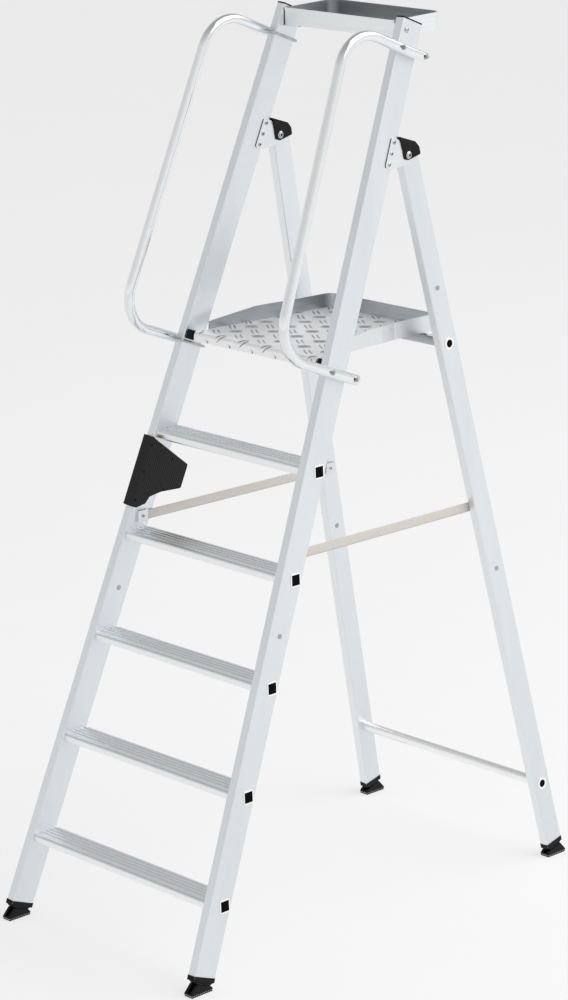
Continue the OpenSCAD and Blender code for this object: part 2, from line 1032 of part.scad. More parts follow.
module cross_tube_upper() cross_tube(upper_cross_z);
module cross_tube_lower() cross_tube(lower_cross_z);

module cross_tube_plugs() {
  color(black)
    for (z = [lower_cross_z, upper_cross_z])
      difference() {
        intersection() {
          between_legs(flare_t);
          translate([0, cross_y(z), z])
            rod_x(cross_d / 2 - cross_wall - slip, -front_width, front_width);
        }
        between_legs(-cross_plug_depth);
      }
}

// Cap outline about the hinge bolt, in the leg's depth and length, with the hook at its top front
hook_tip = [-20, 51.5];
cap_front = 15;
cap_rear = 38;
cap_low = 12;
cap_round = 8;
cap_heel = 21.6;
cap_heel_in = 8.5;
cap_lip = 4;
cap_points = [
  [-cap_front, -cap_low / 2, cap_lip],
  [-cap_lip, -cap_low, cap_round],
  [cap_rear, -cap_low, cap_lip],
  [cap_rear, cap_low / 2, cap_round],
  [cap_rear - cap_heel_in, cap_heel, cap_round],
  [hook_tip.x, hook_tip.y, 0],
  [hook_tip.x, hook_tip.y - cap_lip, 0],
  [-cap_front, hook_tip.y - 2 * cap_lip, cap_lip]
];

module cap_body() {
  along_x(-leg_t - cap_out, cap_out)
    polygon(smooth(cap_points));
}

// Plastic cheeks outside the plates, joined over the top and the rear of the leg
module hinge_cap(side) {
  color(black)
    sided(side)
      difference() {
        on_leg()
          translate([0, hinge_leg_d, hinge_leg_s])
            difference() {
              cap_body();
              along_x(-leg_t - cap_in, cap_in)
                difference() {
                  translate([-far / 2, -far / 2])
                    square([far, far]);
                  cap_web_outline();
                }
            }
        hinge_axis()
          rod_x(bolt_r + seat, 0, far);
        on_stile()
          translate([-far / 2, stile_w - far + hook_reach, hinge_s - plate_half_h])
            cube([far, far, far]);
      }
}

// The band that joins the cheeks: the cap's top and rear edge
module cap_web_outline() {
  behind = leg_w - hinge_leg_d + run;
  polygon([
    [hook_tip.x - overrun, hook_tip.y + overrun], [cap_rear + overrun, cap_heel + cap_round],
    [cap_rear + overrun, -cap_low - overrun], [behind, -cap_low - overrun],
    [behind, web_rise],
    [cap_rear - cap_heel_in - hinge_web / 2, cap_heel - hinge_web],
    [hook_tip.x - overrun, hook_tip.y - hinge_web]
  ]);
}

module hinge_cap_left() hinge_cap(-1);
module hinge_cap_right() hinge_cap(1);

// Collar round the end of a tube, with a tapered neck and a lug below it for the foot pin
module collar_blank(t, w, pin_s) {
  low = pin_s + pin_to_band;
  difference() {
    translate([-t - band_skirt, -band_skirt, low])
      linear_extrude(band_h)
        rounded_square([t + 2 * band_skirt, w + 2 * band_skirt], corner_r + band_skirt);
    translate([-t - slip, -slip, low + band_floor])
      cube([t + 2 * slip, w + 2 * slip, band_h]);
  }
  along_x(-t / 2 - neck_t / 2, -t / 2 + neck_t / 2)
    polygon([
      [-band_skirt + corner_r, low + seat], [w + band_skirt - corner_r, low + seat],
      [w / 2 + neck_half, low - neck_h], [w / 2 - neck_half, low - neck_h]
    ]);
  translate([-t / 2 - lug_t / 2, w / 2 - lug_r, pin_s])
    cube([lug_t, 2 * lug_r, pin_to_band + band_floor / 2]);
}

module pin_lug() {
  rod_x(lug_r, -lug_t / 2, lug_t / 2);
}

module pin_bore() {
  rod_x(pin_r + seat, -sole_w, sole_w);
}

module collar_front(side) {
  color(black)
    sided(side)
      difference() {
        union() {
          on_stile()
            collar_blank(stile_t, stile_w, stile_pin_s);
          translate([stile_pin_x, stile_pin_y, foot_pin_z])
            pin_lug();
        }
        translate([stile_pin_x, stile_pin_y, foot_pin_z])
          pin_bore();
      }
}

module collar_rear(side) {
  color(black)
    sided(side)
      difference() {
        union() {
          on_leg()
            collar_blank(leg_t, leg_w, leg_pin_s);
          translate([leg_pin_x, leg_pin_y, foot_pin_z])
            pin_lug();
        }
        translate([leg_pin_x, leg_pin_y, foot_pin_z])
          pin_bore();
      }
}

module foot_collar_front_left() collar_front(-1);
module foot_collar_front_right() collar_front(1);
module foot_collar_rear_left() collar_rear(-1);
module foot_collar_rear_right() collar_rear(1);

module foot_pin() {
  rod_x(pin_r, -sole_w / 2 + pin_grip, sole_w / 2 - pin_grip);
}

module front_foot_pins() {
  color(steel)
    both_sides()
      translate([stile_pin_x, stile_pin_y, foot_pin_z])
        foot_pin();
}

module rear_foot_pins() {
  color(steel)
    both_sides()
      translate([leg_pin_x, leg_pin_y, foot_pin_z])
        foot_pin();
}

// Side of a shoe about the pin: flared from a sloping waist to the sole
module shoe_outline() {
  base = sole_h - foot_pin_z;
  polygon(smooth([
    [-shoe_toe, base, 0], [shoe_heel, base, 0], [shoe_heel, base + shoe_edge_h, 0],
    [waist_rear, waist_z - waist_rear * tan(waist_slope), waist_r],
    [-waist_front, waist_z + waist_front * tan(waist_slope), waist_r],
    [-shoe_toe, base + shoe_edge_h, 0]
  ]));
}

// Shoe about the pin: two flared cheeks on a base, with the toe towards -Y
module shoe() {
  slot_w = lug_t + 2 * lug_play;
  color(black)
    difference() {
      along_x(-sole_w / 2, sole_w / 2)
        shoe_outline();
      translate([-slot_w / 2, -far / 2, sole_h + shoe_floor - foot_pin_z])
        cube([slot_w, far, far]);
      rod_x(pin_r + seat, -sole_w / 2 + pin_grip - seat, sole_w / 2 - pin_grip + seat);
    }
}

// Ribbed sole under the shoe, standing on the floor
module sole() {
  pitch = sole_len / sole_ribs;
  color(grey)
    translate([-sole_w / 2, -shoe_toe, -foot_pin_z]) {
      translate([0, 0, sole_h - sole_plate])
        cube([sole_w, sole_len, sole_plate - seat]);
      for (k = [0 : sole_ribs - 1])
        translate([0, k * pitch + pitch / 5, 0])
          cube([sole_w, pitch * 3 / 5, sole_h - seat]);
    }
}

module front_foot(side) {
  sided(side)
    translate([stile_pin_x, stile_pin_y, foot_pin_z])
      children();
}

module rear_foot(side) {
  sided(side)
    translate([leg_pin_x, leg_pin_y, foot_pin_z])
      mirror([0, 1, 0])
        children();
}

module shoe_front_left() front_foot(-1) shoe();
module shoe_front_right() front_foot(1) shoe();
module shoe_rear_left() rear_foot(-1) shoe();
module shoe_rear_right() rear_foot(1) shoe();
module sole_front_left() front_foot(-1) sole();
module sole_front_right() front_foot(1) sole();
module sole_rear_left() rear_foot(-1) sole();
module sole_rear_right() rear_foot(1) sole();

// Plan of the guarded part of the platform, drawn in by inset from the toe board's outside
module platform_plan(inset) {
  span = deck_rear - toe_front;
  front = deck_half - inset;
  before = deck_half - deck_narrow - inset;
  after = before - joggle_in;
  rear = after - deck_rear_narrow;
  bend_y = [for (share = deck_joggle_shares) toe_front + span * share];
  r = toe_corner - inset;
  back = deck_rear - inset;
  polygon(smooth([
    [front, toe_front, 0], [before, bend_y[0], 0], [after, bend_y[1], 0], [rear, back, r],
    [-rear, back, r], [-after, bend_y[1], 0], [-before, bend_y[0], 0], [-front, toe_front, 0]
  ]));
}

// Side of the nose, drawn in by inset from the plate's outside
module nose_outline(inset) {
  front = deck_front + inset;
  low = deck_z - nose_drop - (inset > 0 ? overrun : 0);
  high = deck_z - inset;
  rear = toe_front + seat + (inset > 0 ? overrun : 0);
  polygon(smooth([
    [front, low, 0], [front, high, nose_r - inset], [rear, high, 0], [rear, low, 0]
  ]));
}

// Checker plate with a turned-down nose, pivot cheeks, turned-down edges and a rest for the cross tube
module platform_deck() {
  inset = toe_t + slip;
  color(alu_dark) {
    translate([0, 0, deck_z - deck_t])
      linear_extrude(deck_t)
        platform_plan(inset);
    difference() {
      translate([0, 0, deck_z - toe_drop])
        linear_extrude(toe_drop)
          platform_plan(inset);
      translate([0, 0, deck_z - toe_drop - overrun])
        linear_extrude(toe_drop)
          platform_plan(inset + flange_t);
      translate([-far / 2, toe_front - far, 0])
        cube([far, far + flange_t, far]);
    }
    difference() {
      along_x(-nose_half, nose_half)
        nose_outline(0);
      along_x(-nose_half + cheek_plate, nose_half - cheek_plate)
        nose_outline(deck_t);
      translate([0, pivot_y, pivot_z])
        rod_x(pivot_r + seat, -far, far);
    }
    translate([rest_inset - nose_half, cross_y(upper_cross_z) - rest_w / 2, deck_z - rest_h])
      cube([2 * (nose_half - rest_inset), rest_w, rest_h - deck_t + seat]);
  }
}

// Upstand round the sides and the rear of the platform, lower towards the front
module toe_board() {
  low = deck_z - toe_drop;
  high = deck_z + toe_h;
  ramp = (deck_rear - toe_front) * toe_ramp_share;
  color(alu)
    difference() {
      translate([0, 0, low])
        linear_extrude(high - low)
          difference() {
            platform_plan(0);
            platform_plan(toe_t);
            translate([-far / 2, toe_front - far])
              square([far, far + toe_t]);
          }
      along_x(-far, far)
        polygon([
          [toe_front - overrun, high - toe_front_drop], [toe_front + ramp, high],
          [toe_front + ramp, high + overrun], [toe_front - overrun, high + overrun]
        ]);
    }
}

// Pivot pins riveted in the deck's cheeks and turning in the bearings
module platform_pins() {
  depth = bearing_t - bearing_skin;
  color(steel)
    both_sides()
      translate([0, pivot_y, pivot_z]) {
        rod_x(pivot_r, nose_half - cheek_plate - overrun, deck_half + deck_side_gap + depth - run);
        rod_x(pivot_r + overrun, nose_half - cheek_plate - overrun, nose_half - cheek_plate - seat);
      }
}

module platform_bearing(side) {
  color(black)
    sided(side)
      difference() {
        on_stile()
          translate([-stile_t - bearing_t, bearing_d - bearing_l / 2, bearing_low])
            cube([bearing_t - seat, bearing_l, pivot_local.z + bearing_top - bearing_low]);
        translate([0, pivot_y, pivot_z])
          rod_x(pivot_r + seat, 0, deck_half + deck_side_gap + bearing_t - bearing_skin);
      }
}

module platform_bearing_left() platform_bearing(-1);
module platform_bearing_right() platform_bearing(1);

// Moulded grip: a plate on the stile's inner face that wraps its front and reaches behind it
module pad_outline() {
  depth = stile_w + pad_fin + pad_front;
  polygon(smooth([
    for (p = pad_shares) [p.x * depth - pad_front, pad_low + p.y * pad_len, pad_r],
    [-pad_front, pad_low, pad_r / 2], [-pad_front, pad_low + pad_len, pad_r / 2]
  ]));
}

// Screw places in the grip's inner face: before the stile and behind it
module pad_screw_places() {
  for (share = pad_front_screw_shares)
    translate([-stile_t - pad_t, pad_screw_d, pad_low + share * pad_len])
      children();
  for (share = pad_rear_screw_shares)
    translate([-stile_t - pad_t, stile_w + pad_screw_back, pad_low + share * pad_len])
      children();
}

module carry_pad() {
  color(black)
    sided(-1)
      on_stile()
        difference() {
          union() {
            translate([-stile_t - pad_t, 0, 0])
              along_x(0, pad_t - seat)
                pad_outline();
            translate([-stile_t - pad_t, -pad_front, pad_low])
              cube([stile_t + pad_t + pad_wrap, pad_front - seat, pad_len]);
            translate([seat, -pad_front, pad_low])
              cube([pad_wrap - seat, pad_front + pad_t, pad_len]);
          }
          pad_screw_places()
            rod_x(pad_screw_r + slip, -overrun, pad_screw_t + pad_recess + seat);
        }
}

module carry_pad_screws() {
  color(black)
    sided(-1)
      on_stile()
        pad_screw_places()
          rod_x(pad_screw_r, pad_recess, pad_recess + pad_screw_t);
}

// Folded clip that grips a webbing end against a tube's inner face, open towards the webbing
module clip_blank(open) {
  length = clip_l;
  difference() {
    translate([-clip_in, -length / 2, -clip_h / 2])
      cube([clip_in - seat, length, clip_h]);
    translate([-clip_in + clip_t, open > 0 ? clip_t - length / 2 : -length / 2 - overrun, -clip_h])
      cube([clip_in - 2 * clip_t, length - clip_t + overrun, 2 * clip_h]);
    rod_x(clip_rivet_r + seat, -far, far);
  }
}

module front_strap_clips() {
  color(alu_dark)
    both_sides()
      on_stile()
        translate(front_clip_local)
          rotate([stile_lean, 0, 0])
            clip_blank(1);
}

module rear_strap_clips() {
  color(alu_dark)
    both_sides()
      on_leg()
        translate(rear_clip_local)
          rotate([-leg_lean, 0, 0])
            clip_blank(-1);
}

module clip_rivet() {
  rod_x(clip_rivet_r, -clip_in - clip_t, tube_wall + overrun);
  rod_x(clip_rivet_head, -clip_in - clip_t, -clip_in - seat);
}

module front_strap_rivets() {
  color(steel)
    both_sides()
      on_stile()
        translate(front_clip_local)
          clip_rivet();
}

module rear_strap_rivets() {
  color(steel)
    both_sides()
      on_leg()
        translate(rear_clip_local)
          clip_rivet();
}

// Flat webbing drawn tight between the clips
module strap(side) {
  start = front_clip_y - clip_l / 2 + strap_end_in;
  finish = rear_clip_y + clip_l / 2 - strap_end_in;
  slope = (rear_strap_x - front_strap_x) / (rear_clip_y - front_clip_y);
  x0 = front_strap_x + slope * (start - front_clip_y);
  x1 = front_strap_x + slope * (finish - front_clip_y);
  half = strap_t / 2;
  color(beige)
    sided(side)
      difference() {
        translate([0, 0, strap_z - strap_w / 2])
          linear_extrude(strap_w)
            polygon([[x0 - half, start], [x1 - half, finish], [x1 + half, finish], [x0 + half, start]]);
        on_stile()
          translate(front_clip_local)
            rod_x(clip_rivet_r + slip, -far / 2, far / 2);
        on_leg()
          translate(rear_clip_local)
            rod_x(clip_rivet_r + slip, -far / 2, far / 2);
      }
}

module strap_left() strap(-1);
module strap_right() strap(1);

stile_left();
stile_right();
step(1);  // step_1
step(2);  // step_2
step(3);  // step_3
step(4);  // step_4
step(5);  // step_5
step_plugs();
stile_cap_left();
stile_cap_right();
tray();
tray_spacers();
tray_bolts();
handrail_left();
handrail_right();
handrail_u_bolts();
handrail_nuts();
hinge_plate_left_outer();
hinge_plate_left_inner();
hinge_plate_right_outer();
hinge_plate_right_inner();
hinge_rivets();
hinge_bolts();
carry_pad();
carry_pad_screws();
platform_bearing_left();
platform_bearing_right();
front_strap_clips();
front_strap_rivets();
foot_collar_front_left();
foot_collar_front_right();
front_foot_pins();
stile_rivets();
strap_left();
strap_right();
leg_left();
leg_right();
cross_tube_upper();
cross_tube_lower();
cross_tube_plugs();
hinge_cap_left();
hinge_cap_right();
rear_strap_clips();
rear_strap_rivets();
foot_collar_rear_left();
foot_collar_rear_right();
rear_foot_pins();
leg_rivets();
platform_deck();
toe_board();
platform_pins();
shoe_front_left();
shoe_front_right();
shoe_rear_left();
shoe_rear_right();
sole_front_left();
sole_front_right();
sole_rear_left();
sole_rear_right();
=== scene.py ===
import json
import math
from itertools import product

import bmesh
import bpy
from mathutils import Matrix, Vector


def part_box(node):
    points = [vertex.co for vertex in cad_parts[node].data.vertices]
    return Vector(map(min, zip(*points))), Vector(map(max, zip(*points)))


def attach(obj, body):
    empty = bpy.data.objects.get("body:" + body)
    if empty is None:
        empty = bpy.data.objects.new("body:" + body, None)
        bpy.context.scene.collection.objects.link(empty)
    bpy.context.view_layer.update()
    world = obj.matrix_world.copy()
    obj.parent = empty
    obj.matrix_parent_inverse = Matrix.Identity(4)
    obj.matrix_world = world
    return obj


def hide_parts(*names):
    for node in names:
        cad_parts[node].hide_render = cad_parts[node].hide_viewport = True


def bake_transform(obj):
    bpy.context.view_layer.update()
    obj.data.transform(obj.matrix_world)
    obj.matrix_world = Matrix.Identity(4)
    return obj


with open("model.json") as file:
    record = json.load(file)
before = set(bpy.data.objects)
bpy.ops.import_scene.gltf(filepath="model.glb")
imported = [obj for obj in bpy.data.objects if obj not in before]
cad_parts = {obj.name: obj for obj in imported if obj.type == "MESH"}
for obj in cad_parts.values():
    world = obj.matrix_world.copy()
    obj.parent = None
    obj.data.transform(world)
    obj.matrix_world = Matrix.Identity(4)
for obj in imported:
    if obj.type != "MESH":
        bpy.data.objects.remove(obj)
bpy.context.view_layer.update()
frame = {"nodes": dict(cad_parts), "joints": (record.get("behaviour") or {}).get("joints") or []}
nodes = frame["nodes"]
scene = bpy.context.scene

# Values repeated from the part's source, in metres and radians
LEAN, TAPER = math.radians(20.75), math.radians(3.18)
LEG_LEAN, LEG_TAPER = math.radians(14.07), math.radians(3.27)
NOSE_R = 0.011
NOSE_DROP = 0.023
TOE_T = 0.0025
TOE_SETBACK = 0.043
JOGGLE_SHARES = (0.493, 0.618)
DECK_NARROW, JOGGLE_IN, REAR_NARROW = 0.012, 0.007, 0.005
SOLE_PLATE = 0.0016


# Camera at the photograph's place
AZIMUTH, ELEVATION = math.radians(45.2916), math.radians(15.3131)
CAMERA_PLACE = (5.34596, -5.31858, 3.04191)
LENS_MM, SENSOR_MM, FAR_M = 118.489, 36.0, 60.0
cam_data = bpy.data.cameras.new("camera")
cam_data.sensor_fit = "VERTICAL"
cam_data.sensor_height = SENSOR_MM
cam_data.lens = LENS_MM
cam_data.clip_end = FAR_M
cam = bpy.data.objects.new("camera", cam_data)
cam.location = CAMERA_PLACE
forward = Vector((
    -math.sin(AZIMUTH) * math.cos(ELEVATION),
    math.cos(AZIMUTH) * math.cos(ELEVATION),
    -math.sin(ELEVATION),
))
cam.rotation_euler = forward.to_track_quat("-Z", "Y").to_euler()
scene.collection.objects.link(cam)
scene.camera = cam
scene.view_settings.view_transform = "Standard"


# Shader helpers
def new_material(name):
    mat = bpy.data.materials.new(name)
    mat.use_nodes = True
    tree = mat.node_tree
    tree.nodes.clear()
    out = tree.nodes.new("ShaderNodeOutputMaterial")
    bsdf = tree.nodes.new("ShaderNodeBsdfPrincipled")
    tree.links.new(bsdf.outputs["BSDF"], out.inputs["Surface"])
    return mat, tree, bsdf


def coords(tree, rotation=(0, 0, 0), scale=(1, 1, 1)):
    texture = tree.nodes.new("ShaderNodeTexCoord")
    mapping = tree.nodes.new("ShaderNodeMapping")
    mapping.inputs["Rotation"].default_value = rotation
    mapping.inputs["Scale"].default_value = scale
    tree.links.new(texture.outputs["Object"], mapping.inputs["Vector"])
    return mapping.outputs["Vector"]


def noise(tree, vector, scale, detail=3.0, roughness=0.55):
    node = tree.nodes.new("ShaderNodeTexNoise")
    node.inputs["Scale"].default_value = scale
    node.inputs["Detail"].default_value = detail
    node.inputs["Roughness"].default_value = roughness
    tree.links.new(vector, node.inputs["Vector"])
    return node.outputs["Fac"]


def math_node(tree, operation, *values):
    node = tree.nodes.new("ShaderNodeMath")
    node.operation = operation
    for k, value in enumerate(values):
        if isinstance(value, (int, float)):
            node.inputs[k].default_value = value
        else:
            tree.links.new(value, node.inputs[k])
    return node.outputs["Value"]


def dot(tree, vector, direction):
    node = tree.nodes.new("ShaderNodeVectorMath")
    node.operation = "DOT_PRODUCT"
    node.inputs[1].default_value = direction
    tree.links.new(vector, node.inputs[0])
    return node.outputs["Value"]


def facing(tree, direction):
    """How far the surface looks along a direction of the part, from -1 to 1."""
    return dot(tree, tree.nodes.new("ShaderNodeTexCoord").outputs["Normal"], direction)


def remap(tree, value, low, high, start=0.3, end=0.7):
    node = tree.nodes.new("ShaderNodeMapRange")
    node.inputs["From Min"].default_value = start
    node.inputs["From Max"].default_value = end
    node.inputs["To Min"].default_value = low
    node.inputs["To Max"].default_value = high
    tree.links.new(value, node.inputs["Value"])
    return node.outputs["Result"]


def two_tone(tree, value, dark, light, start=0.3, end=0.7):
    ramp = tree.nodes.new("ShaderNodeValToRGB")
    ramp.color_ramp.elements[0].position = start
    ramp.color_ramp.elements[0].color = (*dark, 1)
    ramp.color_ramp.elements[1].position = end
    ramp.color_ramp.elements[1].color = (*light, 1)
    tree.links.new(value, ramp.inputs["Fac"])
    return ramp.outputs["Color"]


def mixed(tree, fac, first, second):
    node = tree.nodes.new("ShaderNodeMix")
    node.data_type = "RGBA"
    tree.links.new(fac, node.inputs["Factor"])
    tree.links.new(first, node.inputs[6])
    tree.links.new(second, node.inputs[7])
    return node.outputs[2]


def bump(tree, bsdf, height, strength, distance):
    node = tree.nodes.new("ShaderNodeBump")
    node.inputs["Strength"].default_value = strength
    node.inputs["Distance"].default_value = distance
    tree.links.new(height, node.inputs["Height"])
    tree.links.new(node.outputs["Normal"], bsdf.inputs["Normal"])


# Materials
LINE_SCALE, LINE_SCALE_ALONG = 420.0, 2.0
SLOW_SCALE, SLOW_SCALE_ALONG = 12.0, 1.5
LINE_SHARE = 0.35
LINE_BUMP, LINE_DEPTH = 0.04, 0.00002
STREAK_SCALE, STREAK_SCALE_UP = 4.0, 160.0
GRAIN_SLOW_SCALE = 35.0
METAL_ROUGH_SPREAD, GRAIN_ROUGH_SPREAD = 0.04, 0.06
TONE_SPREAD = 0.03
EDGE_DARK = 0.8
INNER_DARK, INNER_LIGHT = 0.93, 1.07
# Metres past a plane at which a tone starts and is full
FLARE_START, FLARE_END = 0.0001, 0.0003
INSIDE_START, INSIDE_END = 0.02, 0.05
# How squarely a face looks one way when a tone starts and is full, from 0 to 1
EDGE_SHADE_START, EDGE_SHADE_END = 0.45, 0.6
FRONT_START, FRONT_END = 0.6, 0.85
REAR_START, REAR_END = 0.5, 0.8
SHORT_END_START, SHORT_END_END = 0.4, 0.5


def scaled(tone, factor):
    return [c * factor for c in tone]


def drawn_metal(name, rotation, along, tone, rough, flare=None, edge=None, front=None):
    """Drawn aluminium: fine lines along one axis after the rotation, over slow changes of tone.

    flare is a side plane of the tube that it goes through: its ends outside that plane are polished. edge is
    a painted shade tone for the cut edges that look to the front and back, front a painted light tone for
    faces that look forward.
    """
    mat, tree, bsdf = new_material(name)
    bsdf.inputs["Metallic"].default_value = 1.0
    line_scale = [LINE_SCALE] * 3
    line_scale[along] = LINE_SCALE_ALONG
    lines = noise(tree, coords(tree, rotation, line_scale), 1.0, 2.0)
    slow_scale = [SLOW_SCALE] * 3
    slow_scale[along] = SLOW_SCALE_ALONG
    slow = noise(tree, coords(tree, rotation, slow_scale), 1.0, 3.0)
    slow_part = math_node(tree, "MULTIPLY", slow, 1 - LINE_SHARE)
    blend = math_node(tree, "MULTIPLY_ADD", lines, LINE_SHARE, slow_part)
    colour = two_tone(tree, blend, scaled(tone, 1 - TONE_SPREAD), scaled(tone, 1 + TONE_SPREAD))
    if flare:
        slopes, limit = flare
        place = coords(tree)
        side = math_node(tree, "ABSOLUTE", dot(tree, place, (1.0, 0.0, 0.0)))
        reach = math_node(tree, "ADD", dot(tree, place, slopes), side)
        outside = remap(tree, reach, 0.0, 1.0, limit + FLARE_START, limit + FLARE_END)
        colour = mixed(tree, outside, colour, two_tone(tree, lines, POLISHED, POLISHED))
    if edge:
        # Painted shade on the cut edges that look to the front and back
        across = math_node(tree, "ABSOLUTE", facing(tree, (0.0, 1.0, 0.0)))
        cut = remap(tree, across, 0.0, 1.0, EDGE_SHADE_START, EDGE_SHADE_END)
        colour = mixed(tree, cut, colour, two_tone(tree, lines, scaled(edge, EDGE_DARK), edge))
    if front:
        # Painted light on the faces that look forward
        painted_light_ahead = remap(tree, facing(tree, (0.0, -1.0, 0.0)), 0.0, 1.0, FRONT_START, FRONT_END)
        colour = mixed(tree, painted_light_ahead, colour, two_tone(tree, lines, scaled(front, 1 - TONE_SPREAD), front))
    tree.links.new(colour, bsdf.inputs["Base Color"])
    roughness = remap(tree, lines, rough - METAL_ROUGH_SPREAD, rough + METAL_ROUGH_SPREAD)
    tree.links.new(roughness, bsdf.inputs["Roughness"])
    bump(tree, bsdf, lines, LINE_BUMP, LINE_DEPTH)
    return mat


def grained(name, dark, light, metallic, rough, scale, depth, strength, gloss=0.5):
    """Plain finish: slow changes between two tones, with a fine grain in roughness and relief."""
    mat, tree, bsdf = new_material(name)
    bsdf.inputs["Metallic"].default_value = metallic
    bsdf.inputs["Specular IOR Level"].default_value = gloss
    grain = noise(tree, coords(tree), scale, 4.0, 0.6)
    slow = noise(tree, coords(tree), GRAIN_SLOW_SCALE, 3.0)
    tree.links.new(two_tone(tree, slow, dark, light), bsdf.inputs["Base Color"])
    roughness = remap(tree, grain, rough - GRAIN_ROUGH_SPREAD, rough + GRAIN_ROUGH_SPREAD)
    tree.links.new(roughness, bsdf.inputs["Roughness"])
    bump(tree, bsdf, grain, strength, depth)
    return mat


def lined_sheet(name, tone, inner_shade, rear_shade, centre, rough):
    """Folded sheet round a centre: painted shade on the faces towards it, with the rear one in its own
    painted shade tone.
    """
    mat, tree, bsdf = new_material(name)
    bsdf.inputs["Metallic"].default_value = 1.0
    texture = tree.nodes.new("ShaderNodeTexCoord")
    inward = tree.nodes.new("ShaderNodeVectorMath")
    inward.operation = "SUBTRACT"
    inward.inputs[0].default_value = centre
    tree.links.new(texture.outputs["Object"], inward.inputs[1])
    towards = tree.nodes.new("ShaderNodeVectorMath")
    towards.operation = "DOT_PRODUCT"
    tree.links.new(inward.outputs["Vector"], towards.inputs[0])
    tree.links.new(texture.outputs["Normal"], towards.inputs[1])
    # Painted shade on the faces that look towards the centre, in its own tone on the rear face
    inside = remap(tree, towards.outputs["Value"], 0.0, 1.0, INSIDE_START, INSIDE_END)
    facing_ahead = dot(tree, texture.outputs["Normal"], (0.0, -1.0, 0.0))
    streaks = noise(tree, coords(tree, (0, 0, 0), (STREAK_SCALE, STREAK_SCALE, STREAK_SCALE_UP)), 1.0, 3.0)
    outer = two_tone(tree, streaks, scaled(tone, 1 - TONE_SPREAD), scaled(tone, 1 + TONE_SPREAD))
    shaded_inner = two_tone(tree, streaks, scaled(inner_shade, INNER_DARK), scaled(inner_shade, INNER_LIGHT))
    rear = two_tone(tree, streaks, scaled(rear_shade, INNER_DARK), scaled(rear_shade, INNER_LIGHT))
    shaded_inner = mixed(tree, remap(tree, facing_ahead, 0.0, 1.0, REAR_START, REAR_END), shaded_inner, rear)
    tree.links.new(mixed(tree, inside, outer, shaded_inner), bsdf.inputs["Base Color"])
    roughness = remap(tree, streaks, rough - METAL_ROUGH_SPREAD, rough + METAL_ROUGH_SPREAD)
    tree.links.new(roughness, bsdf.inputs["Roughness"])
    return mat


DASH_PITCH, DASH_SHARE = 0.0063, 0.5
PLATE_BLUR = 0.0001


def sole_material(rib_top):
    """Black ribbed rubber with a thin plate, from rib_top up: painted highlight on its short ends, and
    painted light of the floor as dashes on its sides, where the floor shows between the ribs.
    """
    mat, tree, bsdf = new_material("sole_rubber")
    place = coords(tree)
    height = dot(tree, place, (0.0, 0.0, 1.0))
    above = remap(tree, height, 0.0, 1.0, rib_top - PLATE_BLUR, rib_top + PLATE_BLUR)
    across = math_node(tree, "ABSOLUTE", facing(tree, (0.0, 1.0, 0.0)))
    ends = remap(tree, across, 0.0, 1.0, SHORT_END_START, SHORT_END_END)
    count = math_node(tree, "MULTIPLY", dot(tree, place, (0.0, 1.0, 0.0)), 1 / DASH_PITCH)
    dashes = math_node(tree, "GREATER_THAN", math_node(tree, "FRACT", count), DASH_SHARE)
    # Painted highlight on the short ends and painted floor light in dashes on the sides
    plate = math_node(tree, "MULTIPLY", above, math_node(tree, "MAXIMUM", ends, dashes))
    grain = noise(tree, place, 600.0, 4.0, 0.6)
    ribs = two_tone(tree, grain, (0.008, 0.008, 0.008), (0.016, 0.016, 0.016))
    painted_light_tone = two_tone(tree, grain, (0.40, 0.40, 0.40), (0.52, 0.52, 0.52))
    tree.links.new(mixed(tree, plate, ribs, painted_light_tone), bsdf.inputs["Base Color"])
    tree.links.new(remap(tree, grain, 0.6, 0.8), bsdf.inputs["Roughness"])
    bsdf.inputs["Specular IOR Level"].default_value = 0.2
    bump(tree, bsdf, grain, 0.2, 0.0001)
    return mat


RIDGE_SCALE = 48.0


def ridged_plastic():
    """Moulded grip: fine ridges along the stile."""
    mat, tree, bsdf = new_material("pad_plastic")
    ridges = tree.nodes.new("ShaderNodeTexWave")
    ridges.bands_direction = "Y"
    ridges.inputs["Scale"].default_value = RIDGE_SCALE
    ridges.inputs["Distortion"].default_value = 0.0
    tree.links.new(coords(tree, (LEAN, 0.0, 0.0)), ridges.inputs["Vector"])
    grain = noise(tree, coords(tree), 800.0, 4.0, 0.6)
    tone = two_tone(tree, grain, (0.010, 0.010, 0.010), (0.016, 0.016, 0.016))
    tree.links.new(tone, bsdf.inputs["Base Color"])
    tree.links.new(remap(tree, grain, 0.45, 0.6), bsdf.inputs["Roughness"])
    bsdf.inputs["Specular IOR Level"].default_value = 0.2
    bump(tree, bsdf, ridges.outputs["Fac"], 0.6, 0.0012)
    return mat


WEAVE_SCALE_UP, WEAVE_SCALE_ALONG, WEAVE_SHARE = 95.0, 70.0, 0.3


def webbing_material():
    """Woven tape: threads of two crossing waves under a light fuzz."""
    mat, tree, bsdf = new_material("webbing")
    vector = coords(tree)
    across = tree.nodes.new("ShaderNodeTexWave")
    across.bands_direction = "Z"
    across.inputs["Scale"].default_value = WEAVE_SCALE_UP
    across.inputs["Distortion"].default_value = 0.6
    along = tree.nodes.new("ShaderNodeTexWave")
    along.bands_direction = "Y"
    along.inputs["Scale"].default_value = WEAVE_SCALE_ALONG
    along.inputs["Distortion"].default_value = 0.8
    tree.links.new(vector, across.inputs["Vector"])
    tree.links.new(vector, along.inputs["Vector"])
    weave = math_node(tree, "MULTIPLY", across.outputs["Fac"], along.outputs["Fac"])
    fuzz = noise(tree, vector, 260.0, 4.0)
    fuzz_part = math_node(tree, "MULTIPLY", fuzz, 1 - WEAVE_SHARE)
    threads = math_node(tree, "MULTIPLY_ADD", weave, WEAVE_SHARE, fuzz_part)
    tone = two_tone(tree, threads, (0.60, 0.565, 0.525), (0.74, 0.70, 0.655), 0.2, 0.75)
    tree.links.new(tone, bsdf.inputs["Base Color"])
    tree.links.new(remap(tree, fuzz, 0.7, 0.9), bsdf.inputs["Roughness"])
    bump(tree, bsdf, weave, 0.4, 0.0003)
    bsdf.inputs["Sheen Weight"].default_value = 0.1
    return mat


